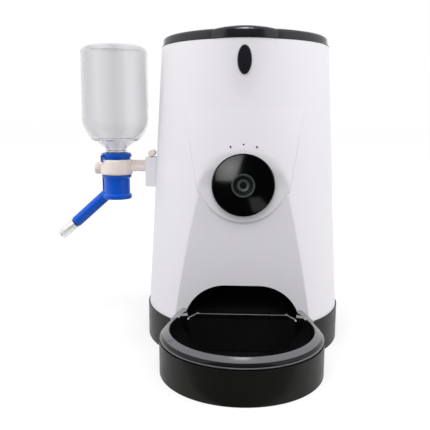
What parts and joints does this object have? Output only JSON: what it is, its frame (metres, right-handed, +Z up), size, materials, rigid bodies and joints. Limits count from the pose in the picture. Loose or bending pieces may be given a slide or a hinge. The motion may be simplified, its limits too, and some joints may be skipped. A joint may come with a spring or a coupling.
{
  "type": "automatic pet feeder",
  "caption": "Tapered automatic pet feeder with a hinged lid, camera, motor-driven metering rotor, lift-out smoked bowl and a clip-on water bottle with a ball valve.",
  "frame": {"origin": "on the floor, on the vertical axis of the tapered body, at the underside of the middle foot", "axes": "+Z up, the front with the bowl and the camera faces -Y, the water bottle hangs on the -X side"},
  "size_m": [0.3578, 0.3362, 0.3663],
  "materials": {
    "white_shell": "satin moulded ABS, white",
    "black_shell": "glossy moulded ABS, black",
    "lid_black": "fine matt moulded ABS, black",
    "inner_black": "matt moulded ABS, black",
    "smoked_bowl": "clear smoked polystyrene, polished mould",
    "camera_black": "polished black acrylic",
    "lens": "coated lens glass",
    "clear_bottle": "clear blown PET",
    "blue_valve": "glossy moulded polypropylene, blue",
    "ivory_bracket": "moulded nylon, ivory",
    "inner_white": "moulded polypropylene, white",
    "rotor_plastic": "soft moulded TPE on a polypropylene hub",
    "gear_plastic": "moulded acetal",
    "pinion_brass": "machined brass",
    "bush_bronze": "sintered bronze",
    "steel": "bright steel",
    "motor_case": "plated steel can",
    "circuit_board": "solder-masked board",
    "foot_rubber": "moulded rubber",
    "seal_silicone": "moulded silicone"
  },
  "bodies": {
    "housing": {"base_tray": "black_shell", "bottom_cover": "inner_black", "rubber_feet": "foot_rubber", "cover_screws": "steel", "body_screws": "steel", "drum_screws": "steel", "power_inlet": "inner_black", "outer_body": "white_shell", "lid_hinge_pin": "steel", "latch_guide": "inner_white", "camera_window": "camera_black", "lens_barrel": "inner_black", "lens_glass": "lens", "camera_board": "circuit_board", "indicator_windows": "camera_black", "main_board": "circuit_board", "food_chute": "inner_black", "metering_drum": "inner_white", "shaft_bush": "bush_bronze", "food_hopper": "inner_white", "motor_bracket": "steel", "gear_motor": "motor_case", "motor_screws": "steel", "bracket_socket": "white_shell", "socket_screws": "steel"},
    "lid": {"lid": "lid_black", "lid_seal": "seal_silicone"},
    "button": {"release_button": "lid_black", "button_spring": "steel"},
    "rotor": {"rotor": "rotor_plastic", "rotor_shaft": "steel", "drive_gear": "gear_plastic"},
    "pinion": {"motor_pinion": "pinion_brass"},
    "bowl": {"food_bowl": "smoked_bowl"},
    "bracket": {"bottle_bracket": "ivory_bracket", "clamp_screw": "steel"},
    "valve": {"valve_body": "blue_valve", "nozzle_tube": "steel", "nozzle_spring": "steel"},
    "seal": {"neck_seal": "seal_silicone"},
    "bottle": {"water_bottle": "clear_bottle"},
    "ball": {"nozzle_ball": "steel"}
  },
  "joints": [
    {"name": "lid_hinge", "type": "hinge", "parent": "housing", "child": "lid", "pos_m": [0, 0.106, 0.3588], "axis": [-1, 0, 0], "range_deg": [0, 105]},
    {"name": "button_press", "type": "slide", "parent": "housing", "child": "button", "axis": [0, 1, 0], "range_m": [0, 0.0025], "stiffness_N_per_m": 200, "springref_m": -0.002, "deforming": ["button_spring"]},
    {"name": "rotor_spin", "type": "hinge", "parent": "housing", "child": "rotor", "pos_m": [0, 0, 0.1], "axis": [0, 0, 1], "continuous": true},
    {"name": "pinion_spin", "type": "hinge", "parent": "housing", "child": "pinion", "pos_m": [0, 0.032, 0.0865], "axis": [0, 0, 1], "continuous": true},
    {"name": "bowl_lift", "type": "slide", "parent": "housing", "child": "bowl", "axis": [0, -0.6428, 0.766], "range_m": [0, 0.12]},
    {"name": "bracket_lift", "type": "slide", "parent": "housing", "child": "bracket", "axis": [0, 0, 1], "range_m": [0, 0.045]},
    {"name": "valve_swivel", "type": "hinge", "parent": "bracket", "child": "valve", "pos_m": [-0.16, 0, 0.2], "axis": [0, 0, 1], "range_deg": [-100, 100]},
    {"name": "bottle_twist", "type": "hinge", "parent": "valve", "child": "seal", "pos_m": [-0.16, 0, 0.2], "axis": [0, 0, 1], "range_deg": [0, 540]},
    {"name": "bottle_rise", "type": "slide", "parent": "seal", "child": "bottle", "axis": [0, 0, 1], "range_m": [0, 0.0048]},
    {"name": "ball_press", "type": "slide", "parent": "valve", "child": "ball", "axis": [0.7604, 0, 0.6494], "range_m": [0, 0.0015], "stiffness_N_per_m": 100, "springref_m": -0.002, "deforming": ["nozzle_spring"]}
  ],
  "couplings": [
    {"joint": "pinion_spin", "follows": "rotor_spin", "ratio": -3},
    {"joint": "bottle_rise", "follows": "bottle_twist", "m_per_rad": 0.00050611}
  ]
}
